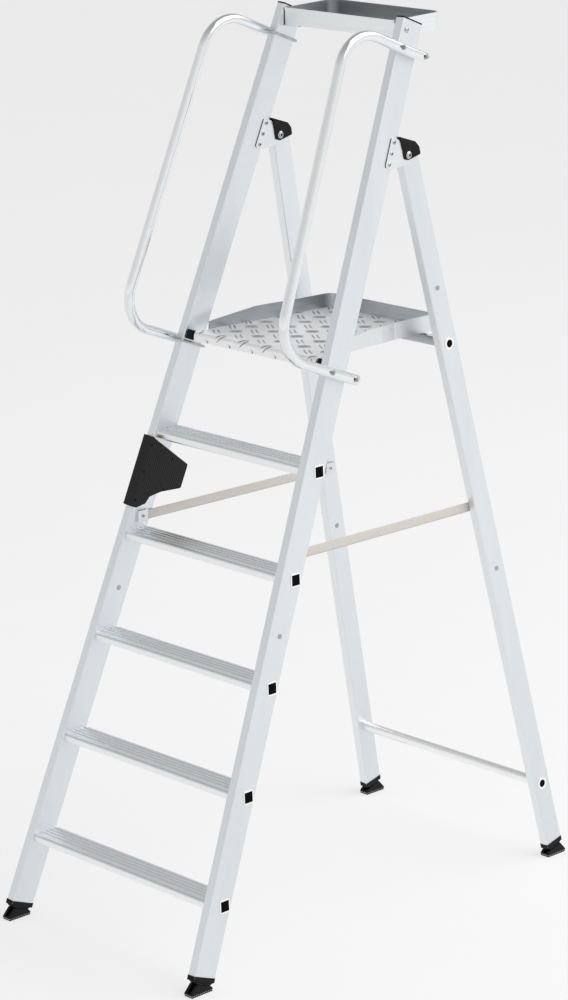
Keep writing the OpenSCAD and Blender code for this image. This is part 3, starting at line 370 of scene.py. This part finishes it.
# Tones, in linear light
ALU = (0.775, 0.805, 0.830)
POLISHED = (1.0, 1.0, 1.0)
# LEG_FRONT_LIT is the painted light tone for the legs' forward faces
LEG_FRONT_LIT = (0.88, 0.90, 0.915)
# Painted shade tone for the upper cross tube under the platform, painted light tone for the lower one
CROSS_UPPER_SHADED = (0.48, 0.50, 0.52)
CROSS_LOWER_LIT = (0.95, 0.965, 0.97)
# TREAD_FRONT_LIT is the painted light tone for the treads' front faces
TREAD, TREAD_FRONT_LIT = (0.800, 0.825, 0.845), (0.93, 0.95, 0.965)
# PLATE_EDGE_SHADE is the painted shade tone for the hinge plates' cut edges
PLATE, PLATE_EDGE_SHADE = (0.80, 0.825, 0.845), (0.10, 0.10, 0.105)
CLIP = (0.75, 0.77, 0.79)
# Painted shade tones for the inner and rear faces of the toe board and the tray
TOE, TOE_INNER_SHADE, TOE_REAR_SHADE = (0.76, 0.785, 0.805), (0.34, 0.36, 0.38), (0.50, 0.525, 0.55)
TRAY, TRAY_INNER_SHADE, TRAY_REAR_SHADE = (0.88, 0.90, 0.915), (0.36, 0.375, 0.39), (0.34, 0.355, 0.37)

# Roughness
TUBE_ROUGH, CROSS_ROUGH, TREAD_ROUGH = 0.42, 0.30, 0.36
TOE_ROUGH, TRAY_ROUGH = 0.34, 0.40


def side_plane(name, lean, taper):
    """Outer face of a right-hand tube, as x + slopes . place = limit."""
    slopes = Vector((0.0, math.sin(lean), math.cos(lean))) * math.tan(taper)
    return slopes, max(v.co.x + slopes.dot(v.co) for v in nodes[name].data.vertices)


stile_turn = (LEAN, 0.0, 0.0)
leg_turn = (-LEG_LEAN, 0.0, 0.0)
no_turn = (0, 0, 0)
leg_side = side_plane("leg_right", -LEG_LEAN, LEG_TAPER)
stile_side = side_plane("stile_right", LEAN, TAPER)
alu_stile = drawn_metal("alu_stile", stile_turn, 2, ALU, TUBE_ROUGH)
# Painted light on the legs' forward faces
alu_leg = drawn_metal("alu_leg", leg_turn, 2, ALU, TUBE_ROUGH, front=LEG_FRONT_LIT)
# Painted shade on the upper cross tube, painted light on the lower one
alu_cross_upper_shaded = drawn_metal("alu_cross_upper_shaded", no_turn, 0, CROSS_UPPER_SHADED, CROSS_ROUGH, flare=leg_side)
alu_cross_lower_lit = drawn_metal("alu_cross_lower_lit", no_turn, 0, CROSS_LOWER_LIT, CROSS_ROUGH, flare=leg_side)
# Painted light on the treads' front faces
alu_tread = drawn_metal("alu_tread", no_turn, 0, TREAD, TREAD_ROUGH, flare=stile_side, front=TREAD_FRONT_LIT)
# Painted shade on the hinge plates' cut edges
alu_plate = drawn_metal("alu_plate", stile_turn, 1, PLATE, TUBE_ROUGH, edge=PLATE_EDGE_SHADE)
alu_clip = drawn_metal("alu_clip", no_turn, 2, CLIP, TUBE_ROUGH)
alu_tube = grained(
    "alu_tube", (0.82, 0.84, 0.855), (0.85, 0.87, 0.885),
    metallic=1.0, rough=0.16, scale=300.0, depth=0.00002, strength=0.02
)
alu_rivet = grained(
    "alu_rivet", (0.40, 0.415, 0.43), (0.46, 0.475, 0.49),
    metallic=1.0, rough=0.40, scale=300.0, depth=0.00002, strength=0.05
)
checker = grained(
    "checker_plate", (0.94, 0.95, 0.96), (0.97, 0.98, 0.985),
    metallic=0.65, rough=0.34, scale=90.0, depth=0.0001, strength=0.05
)
zinc = grained(
    "zinc_steel", (0.42, 0.42, 0.41), (0.54, 0.54, 0.52),
    metallic=1.0, rough=0.33, scale=420.0, depth=0.00005, strength=0.15
)
black = grained(
    "black_plastic", (0.004, 0.004, 0.0043), (0.008, 0.008, 0.0085),
    metallic=0.0, rough=0.46, scale=900.0, depth=0.00006, strength=0.2, gloss=0.16
)
# Black of the plugs, and painted shade for the rivet holes, bolt sockets and the pad's screw holes
plug_black_and_hole_shade = grained(
    "plug_black_and_hole_shade", (0.0015, 0.0015, 0.0015), (0.003, 0.003, 0.003),
    metallic=0.0, rough=0.7, scale=900.0, depth=0.00006, strength=0.1, gloss=0.05
)
pad_black = ridged_plastic()
sole = sole_material(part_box("sole_front_left")[1].z - SOLE_PLATE)
web = webbing_material()


def middle(name):
    low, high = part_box(name)
    return (low + high) / 2


# Painted shade inside the toe board and the tray
toe_sheet = lined_sheet("toe_sheet", TOE, TOE_INNER_SHADE, TOE_REAR_SHADE, middle("toe_board"), TOE_ROUGH)
tray_sheet = lined_sheet("tray_sheet", TRAY, TRAY_INNER_SHADE, TRAY_REAR_SHADE, middle("tray"), TRAY_ROUGH)

FINISH = {
    "stile": alu_stile, "stile_cap": black, "stile_rivets": alu_rivet,
    "leg": alu_leg, "leg_rivets": alu_rivet,
    "step": alu_tread, "step_plugs": plug_black_and_hole_shade,
    "cross_tube_upper": alu_cross_upper_shaded, "cross_tube_lower": alu_cross_lower_lit, "cross_tube_plugs": plug_black_and_hole_shade,
    "handrail": alu_tube, "handrail_u_bolts": zinc, "handrail_nuts": zinc,
    "hinge": zinc, "hinge_plate": alu_plate, "hinge_cap": black,
    "tray": tray_sheet, "tray_bolts": zinc, "tray_spacers": tray_sheet,
    "platform_deck": checker, "platform_pins": zinc, "toe_board": toe_sheet,
    "carry_pad": pad_black, "carry_pad_screws": plug_black_and_hole_shade,
    "front_strap_clips": alu_clip, "front_strap_rivets": zinc,
    "rear_strap_clips": alu_clip, "rear_strap_rivets": zinc, "strap": web,
    "front_foot_pins": zinc, "rear_foot_pins": zinc, "sole": sole,
}


def finish_of(name):
    """Material of the longest entry that the node's name starts with, or black plastic."""
    found = [key for key in FINISH if name.startswith(key)]
    return FINISH[max(found, key=len)] if found else black


for name, obj in nodes.items():
    obj.data.materials.clear()
    obj.data.materials.append(finish_of(name))


# Directions that the deck bars' slopes with painted shade look in
SHADE_AHEAD, SHADE_ASIDE = (0.35, -0.94, 0.0), (-0.59, -0.81, 0.0)
BAR_SHADE_START, BAR_SHADE_END = 0.05, 0.30
ASIDE_START, ASIDE_END = 0.16, 0.28
NOSE_FADE = 0.004
NOSE_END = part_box("platform_deck")[0].y + NOSE_R


def bar_material():
    """Raised bars of the deck: bright on top, with painted shade on the slopes that look forward."""
    mat, tree, bsdf = new_material("checker_bar")
    bsdf.inputs["Metallic"].default_value = 0.75
    grain = noise(tree, coords(tree), 140.0, 3.0)
    # Painted shade on the bars' slopes that look forward and aside, and on the nose's bar slopes that look
    # to +x
    painted_light_ahead = remap(tree, facing(tree, SHADE_AHEAD), 0.0, 1.0, BAR_SHADE_START, BAR_SHADE_END)
    aside_shade = remap(tree, facing(tree, SHADE_ASIDE), 0.0, 1.0, ASIDE_START, ASIDE_END)
    slope = math_node(tree, "MAXIMUM", painted_light_ahead, aside_shade)
    nose_shade = remap(tree, facing(tree, (1.0, 0.0, 0.0)), 0.0, 1.0, BAR_SHADE_START, BAR_SHADE_END)
    depth = dot(tree, coords(tree), (0.0, 1.0, 0.0))
    flat = remap(tree, depth, 0.0, 1.0, NOSE_END, NOSE_END + NOSE_FADE)
    on_flat = math_node(tree, "MULTIPLY", slope, flat)
    on_nose = math_node(tree, "SUBTRACT", 1.0, flat)
    bar_shade = math_node(tree, "MULTIPLY_ADD", nose_shade, on_nose, on_flat)
    bright = two_tone(tree, grain, (0.95, 0.955, 0.96), (1.0, 1.0, 1.0))
    dark = two_tone(tree, grain, (0.33, 0.33, 0.335), (0.42, 0.42, 0.425))
    tree.links.new(mixed(tree, bar_shade, bright, dark), bsdf.inputs["Base Color"])
    tree.links.new(remap(tree, grain, 0.26, 0.34), bsdf.inputs["Roughness"])
    return mat


checker_bar = bar_material()


# Stage and light
FLOOR_SIZE, FLOOR_DROP, FLOOR_GLOW = 60, 0.0005, 0.65
ROOM_LEVEL, ROOM_SLOPE = 0.95, (0.06, -0.04, -0.60)
LAMP_X, LAMP_Y, LAMP_HEIGHT = 5.0, 4.4, 6.0
LAMP_SIZE, LAMP_POWER = (9.0, 9.0), 470


def stage_floor():
    """Pale floor, lifted towards white where it is seen or mirrored; it keeps the shadow."""
    mat, tree, bsdf = new_material("floor")
    mottle = noise(tree, coords(tree), 2.0, 2.0)
    tone = two_tone(tree, mottle, (0.89, 0.89, 0.89), (0.91, 0.91, 0.91))
    tree.links.new(tone, bsdf.inputs["Base Color"])
    bsdf.inputs["Roughness"].default_value = 0.9
    bsdf.inputs["Specular IOR Level"].default_value = 0.0
    glow = tree.nodes.new("ShaderNodeEmission")
    glow.inputs["Color"].default_value = (1, 1, 1, 1)
    glow.inputs["Strength"].default_value = 1.0
    path = tree.nodes.new("ShaderNodeLightPath")
    seen = math_node(tree, "MAXIMUM", path.outputs["Is Camera Ray"], path.outputs["Is Glossy Ray"])
    seen = math_node(tree, "MAXIMUM", seen, path.outputs["Is Transmission Ray"])
    share = math_node(tree, "MULTIPLY", seen, FLOOR_GLOW)
    mix = tree.nodes.new("ShaderNodeMixShader")
    tree.links.new(share, mix.inputs["Fac"])
    tree.links.new(bsdf.outputs["BSDF"], mix.inputs[1])
    tree.links.new(glow.outputs["Emission"], mix.inputs[2])
    out = next(n for n in tree.nodes if n.type == "OUTPUT_MATERIAL")
    tree.links.new(mix.outputs["Shader"], out.inputs["Surface"])
    bpy.ops.mesh.primitive_plane_add(size=FLOOR_SIZE, location=(0, 0, -FLOOR_DROP))
    floor = bpy.context.object
    floor.name = "floor"
    floor.data.materials.append(mat)


def studio_world():
    """A soft room that is brightest near the floor."""
    world = bpy.data.worlds.new("studio")
    scene.world = world
    world.use_nodes = True
    tree = world.node_tree
    tree.nodes.clear()
    out = tree.nodes.new("ShaderNodeOutputWorld")
    room = tree.nodes.new("ShaderNodeBackground")
    room.inputs["Color"].default_value = (1, 1, 1, 1)
    direction = tree.nodes.new("ShaderNodeTexCoord")
    slope = dot(tree, direction.outputs["Generated"], ROOM_SLOPE)
    tree.links.new(math_node(tree, "ADD", slope, ROOM_LEVEL), room.inputs["Strength"])
    tree.links.new(room.outputs["Background"], out.inputs["Surface"])


def softbox(name, place, target, size, power):
    """Rectangular lamp that looks at a target."""
    data = bpy.data.lights.new(name, "AREA")
    data.shape = "RECTANGLE"
    data.size, data.size_y = size
    data.energy = power
    lamp = bpy.data.objects.new(name, data)
    lamp.location = place
    lamp.rotation_euler = (Vector(target) - Vector(place)).to_track_quat("-Z", "Y").to_euler()
    scene.collection.objects.link(lamp)


stage_floor()
studio_world()
softbox("overhead", (LAMP_X, LAMP_Y, LAMP_HEIGHT), (LAMP_X, LAMP_Y, 0.0), LAMP_SIZE, LAMP_POWER)


# Pieces
def make(name, bm, mat, body=None):
    """Smooth object of one material, riding on a body if one is named."""
    mesh = bpy.data.meshes.new(name)
    bmesh.ops.recalc_face_normals(bm, faces=bm.faces)
    bm.to_mesh(mesh)
    bm.free()
    for poly in mesh.polygons:
        poly.use_smooth = True
    obj = bpy.data.objects.new(name, mesh)
    scene.collection.objects.link(obj)
    mesh.materials.append(mat)
    if body:
        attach(obj, body)
    return obj


def skin(bm, rings):
    """Close a row of equal rings into one solid."""
    count = len(rings[0])
    for a, b in zip(rings, rings[1:]):
        for k in range(count):
            bm.faces.new((a[k], a[(k + 1) % count], b[(k + 1) % count], b[k]))
    bm.faces.new(rings[0])
    bm.faces.new(list(reversed(rings[-1])))


deck_low, deck_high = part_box("platform_deck")
toe_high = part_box("toe_board")[1]
DECK_FRONT, DECK_Z = deck_low.y, deck_high.z
TOE_FRONT = DECK_FRONT + TOE_SETBACK
NOSE_INSET = 0.004


def deck_half(y):
    """Half width of the free deck at a depth: the nose in front, then the inside of the toe board."""
    if y < TOE_FRONT:
        return deck_high.x - NOSE_INSET
    half = toe_high.x - TOE_T
    share = (y - TOE_FRONT) / (toe_high.y - TOE_FRONT)
    bend, end = JOGGLE_SHARES
    if share < bend:
        return half - DECK_NARROW * share / bend
    if share < end:
        return half - DECK_NARROW - JOGGLE_IN * (share - bend) / (end - bend)
    return half - DECK_NARROW - JOGGLE_IN - REAR_NARROW * (share - end) / (1 - end)


def on_deck(x, y, up):
    """Place above the sheet; in front of the bend, y runs on round the nose and down."""
    past = DECK_FRONT + NOSE_R - y
    quarter = NOSE_R * math.pi / 2
    if past <= 0:
        return Vector((x, y, DECK_Z + up))
    if past < quarter:
        turn = past / NOSE_R
        reach = NOSE_R + up
        y_turned = DECK_FRONT + NOSE_R - reach * math.sin(turn)
        z_turned = DECK_Z - NOSE_R + reach * math.cos(turn)
        return Vector((x, y_turned, z_turned))
    return Vector((x, DECK_FRONT - up, DECK_Z - NOSE_R - (past - quarter)))


# Raised bars of the sheet: pairs that alternate between two headings
BAR_WIDTH, BAR_RISE, PAIR_GAP = 0.0082, 0.0018, 0.0115
ALONG_LENGTH, ACROSS_LENGTH = 0.036, 0.046
ALONG = Vector((0.0318, 0.0318))
ACROSS = Vector((0.0442, -0.0320))
PATTERN_X, PATTERN_BACK, PATTERN_REACH = -0.0025, 0.197, 12
BAR_STEPS = 14
BAR_SECTION = (
    (-1.0, 0.0), (-0.70, 0.55), (-0.30, 0.92), (0.0, 1.0), (0.30, 0.92), (0.70, 0.55), (1.0, 0.0)
)
BAR_POINT_POWER, BAR_RISE_POWER, BAR_THINNEST = 0.55, 3, 0.0002
BURIED = 0.0003
BAR_MARGIN, NOSE_MARGIN, TOE_CORNER = 0.002, 0.001, 0.020


def bar_in_reach(x, y):
    """Whether a place of the sheet is free: inside its edges and off the toe board's round corners."""
    lowest = DECK_FRONT + NOSE_R - NOSE_R * math.pi / 2 - (NOSE_DROP - NOSE_R) + NOSE_MARGIN
    rear = toe_high.y - TOE_T
    room = deck_half(y) - max(0.0, y - (rear - TOE_CORNER))
    return abs(x) < room - BAR_MARGIN and lowest < y < rear - BAR_MARGIN


def bar(bm, centre, heading, length):
    """One raised bar with pointed ends, cut short where the sheet isn't free."""
    side = Vector((-heading.y, heading.x))
    rings = []
    for i in range(BAR_STEPS + 1):
        t = -1.0 + 2.0 * i / BAR_STEPS
        spot = centre + heading * (t * length / 2)
        if not bar_in_reach(spot.x, spot.y):
            continue
        half = max(BAR_WIDTH / 2 * (1.0 - t * t) ** BAR_POINT_POWER, BAR_THINNEST)
        rise = BAR_RISE * (1.0 - abs(t) ** BAR_RISE_POWER) + BURIED
        ring = []
        for across, up in BAR_SECTION:
            p = spot + side * (across * half)
            ring.append(bm.verts.new(on_deck(p.x, p.y, rise * up - BURIED)))
        rings.append(ring)
    if len(rings) > 2:
        skin(bm, rings)


def deck_pattern():
    bm = bmesh.new()
    start = Vector((PATTERN_X, DECK_FRONT + PATTERN_BACK))
    for i in range(-PATTERN_REACH, PATTERN_REACH + 1):
        for k in range(-PATTERN_REACH, PATTERN_REACH + 1):
            centre = start + ALONG * i + ACROSS * k
            heading, length = (ACROSS, ACROSS_LENGTH) if (i + k) % 2 else (ALONG, ALONG_LENGTH)
            heading = heading.normalized()
            side = Vector((-heading.y, heading.x))
            for shift in (-PAIR_GAP / 2, PAIR_GAP / 2):
                bar(bm, centre + side * shift, heading, length)
    return make("deck_pattern", bm, checker_bar, "platform")


deck_pattern()


# End cheeks of the nose, beside the bearings
CHEEK_W, CHEEK_BACK, CHEEK_DEPTH = 0.009, 0.0005, 0.022
CHEEK_SUNK, CHEEK_EDGE = 0.0005, 0.0008
CHEEK_TURNS = 8
NOSE_SLICE = 0.002


def nose_cheeks():
    deck = nodes["platform_deck"].data.vertices
    half = max(v.co.x for v in deck if v.co.y < DECK_FRONT + NOSE_SLICE)
    front, top, low = DECK_FRONT + CHEEK_BACK, DECK_Z - CHEEK_BACK, DECK_Z - NOSE_DROP
    profile = [(front + CHEEK_DEPTH, low), (front + CHEEK_DEPTH, top)]
    for k in range(CHEEK_TURNS + 1):
        turn = math.pi / 2 * k / CHEEK_TURNS
        profile.append((front + NOSE_R * (1 - math.sin(turn)), top - NOSE_R * (1 - math.cos(turn))))
    profile.append((front, low))
    outer = half + CHEEK_W
    bm = bmesh.new()
    for side in (-1, 1):
        rings = []
        for x, inset in ((half - CHEEK_SUNK, 0.0), (outer - CHEEK_EDGE, 0.0), (outer, CHEEK_EDGE)):
            ring = []
            for y, z in profile:
                inward = Vector((0.0, front + CHEEK_DEPTH / 2 - y, (top + low) / 2 - z))
                ring.append(bm.verts.new(Vector((side * x, y, z)) + inward.normalized() * inset))
            rings.append(ring)
        skin(bm, rings)
    obj = make("nose_cheeks", bm, checker, "platform")
    for poly in obj.data.polygons:
        poly.use_smooth = False


nose_cheeks()


# Painted shade: near-black marks standing for the hollows of the blind rivets and the sockets of the bolt
# heads
MARK_SIDES, MARK_RISE, MARK_SINK, MARK_TOP_SHARE = 16, 0.0003, 0.0006, 0.6
TIP_DEPTH, MERGE_DIST = 0.0010, 0.00001
HINGE_RIVET_CORE, HINGE_BOLT_SOCKET, STRAP_RIVET_CORE = 0.0019, 0.0030, 0.0016


def islands(name):
    """Separate solids of a node, as lists of places."""
    bm = bmesh.new()
    bm.from_mesh(nodes[name].data)
    bmesh.ops.remove_doubles(bm, verts=bm.verts, dist=MERGE_DIST)
    seen = set()
    found = []
    for first in bm.verts:
        if first in seen:
            continue
        seen.add(first)
        queue = [first]
        places = []
        while queue:
            vert = queue.pop()
            places.append(vert.co.copy())
            for edge in vert.link_edges:
                other = edge.other_vert(vert)
                if other not in seen:
                    seen.add(other)
                    queue.append(other)
        found.append(places)
    bm.free()
    return found


def head_marks(name, radius, body, ends):
    """Painted shade as dark cores at the heads; ends has 1 for those away from the middle plane, -1 for
    those towards it.
    """
    bm = bmesh.new()
    for places, end in product(islands(name), ends):
        side = end if sum(p.x for p in places) > 0 else -end
        outer = max(side * p.x for p in places)
        tip = [p for p in places if side * p.x > outer - TIP_DEPTH]
        y = (min(p.y for p in tip) + max(p.y for p in tip)) / 2
        z = (min(p.z for p in tip) + max(p.z for p in tip)) / 2
        rings = []
        for share, rise in ((1.0, -MARK_SINK), (1.0, 0.0), (MARK_TOP_SHARE, MARK_RISE)):
            spot = Vector((side * (outer + rise), y, z))
            ring = []
            for k in range(MARK_SIDES):
                turn = 2 * math.pi * k / MARK_SIDES
                spoke = Vector((0.0, math.cos(turn), math.sin(turn))) * radius * share
                ring.append(bm.verts.new(spot + spoke))
            rings.append(ring)
        skin(bm, rings)
    obj = make(name + "_cores", bm, plug_black_and_hole_shade, body)


head_marks("hinge_rivets", HINGE_RIVET_CORE, "front_frame", (1, -1))
head_marks("hinge_bolts", HINGE_BOLT_SOCKET, "front_frame", (1, -1))
head_marks("front_strap_rivets", STRAP_RIVET_CORE, "front_frame", (-1,))
head_marks("rear_strap_rivets", STRAP_RIVET_CORE, "rear_frame", (-1,))


# Soft necks between the foot collars and the tilting shoes
NECK_HALF_W, NECK_CORNER, NECK_SIDES = 0.0115, 0.006, 10
FRONT_NECK_REACH, REAR_NECK_REACH = 0.033, 0.0265
# Rings from the collar down: height above the pin, and the ends as shares of the reach
NECK_TOP, NECK_END = 0.0095, 0.0015
NECK_RINGS = ((NECK_TOP, -1.0, 1.0), (0.0068, -0.88, 0.88), (0.0045, -0.78, 0.80), (NECK_END, -0.58, 0.73))


def neck_ring(bm, pin, up, back, height, low, high):
    """Rounded rectangle across the tube at a height above the pin, from low to high along the foot."""
    ring = []
    for sx, sd in ((1, 1), (-1, 1), (-1, -1), (1, -1)):
        for k in range(NECK_SIDES):
            quarter = math.pi / 2 * k / (NECK_SIDES - 1)
            cx, cd = math.cos(quarter), math.sin(quarter)
            if sx * sd < 0:
                cx, cd = cd, cx
            x = sx * (NECK_HALF_W - NECK_CORNER + NECK_CORNER * cx)
            d = (high if sd > 0 else low) + sd * NECK_CORNER * (cd - 1.0)
            ring.append(bm.verts.new(pin + Vector((x, 0.0, 0.0)) + up * height + back * d))
    return ring


def neck(foot, lean, sign, reach):
    """Neck of one foot: its top follows the frame, its lower end the shoe."""
    joint = next(j for j in frame["joints"] if j["name"] == "foot_tilt_" + foot)
    pin = Vector(joint["pos_m"])
    up = Vector((0.0, sign * math.sin(lean), math.cos(lean)))
    back = Vector((0.0, sign * math.cos(lean), -math.sin(lean)))
    bm = bmesh.new()
    rings = []
    for height, low, high in NECK_RINGS:
        rings.append(neck_ring(bm, pin, up, back, height, low * reach, high * reach))
    skin(bm, rings)
    obj = make("neck_" + foot, bm, black)
    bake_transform(obj)


for word in ("left", "right"):
    neck("front_" + word, LEAN, 1, FRONT_NECK_REACH)
    neck("rear_" + word, LEG_LEAN, -1, REAR_NECK_REACH)


# Webbing straps between the clips
STRAP_STEPS, STRAP_ROWS, STRAP_HALF_T = 120, 6, 0.0008
STRAP_END_SLICE = 0.001
EDGE_THIN, EDGE_POWER = 0.55, 6


def strap(word):
    """Flat strap in place of the CAD one, thinner at its long edges."""
    name = "strap_" + word
    low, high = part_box(name)
    corners = [v.co for v in nodes[name].data.vertices]
    front_x = [c.x for c in corners if c.y < low.y + STRAP_END_SLICE]
    rear_x = [c.x for c in corners if c.y > high.y - STRAP_END_SLICE]
    start = Vector((sum(front_x) / len(front_x), low.y, low.z))
    end = Vector((sum(rear_x) / len(rear_x), high.y, low.z))
    width = high.z - low.z
    bm = bmesh.new()
    rings = []
    for i in range(STRAP_STEPS + 1):
        spot = start.lerp(end, i / STRAP_STEPS)
        ring = []
        for sign in (1, -1):
            for r in range(STRAP_ROWS + 1):
                w = r / STRAP_ROWS if sign > 0 else 1 - r / STRAP_ROWS
                thin = 1.0 - EDGE_THIN * abs(2 * w - 1) ** EDGE_POWER
                ring.append(bm.verts.new(spot + Vector((sign * STRAP_HALF_T * thin, 0.0, width * w))))
        rings.append(ring)
    skin(bm, rings)
    obj = make("webbing_" + word, bm, web)
    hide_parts(name)
    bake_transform(obj)


for word in ("left", "right"):
    strap(word)
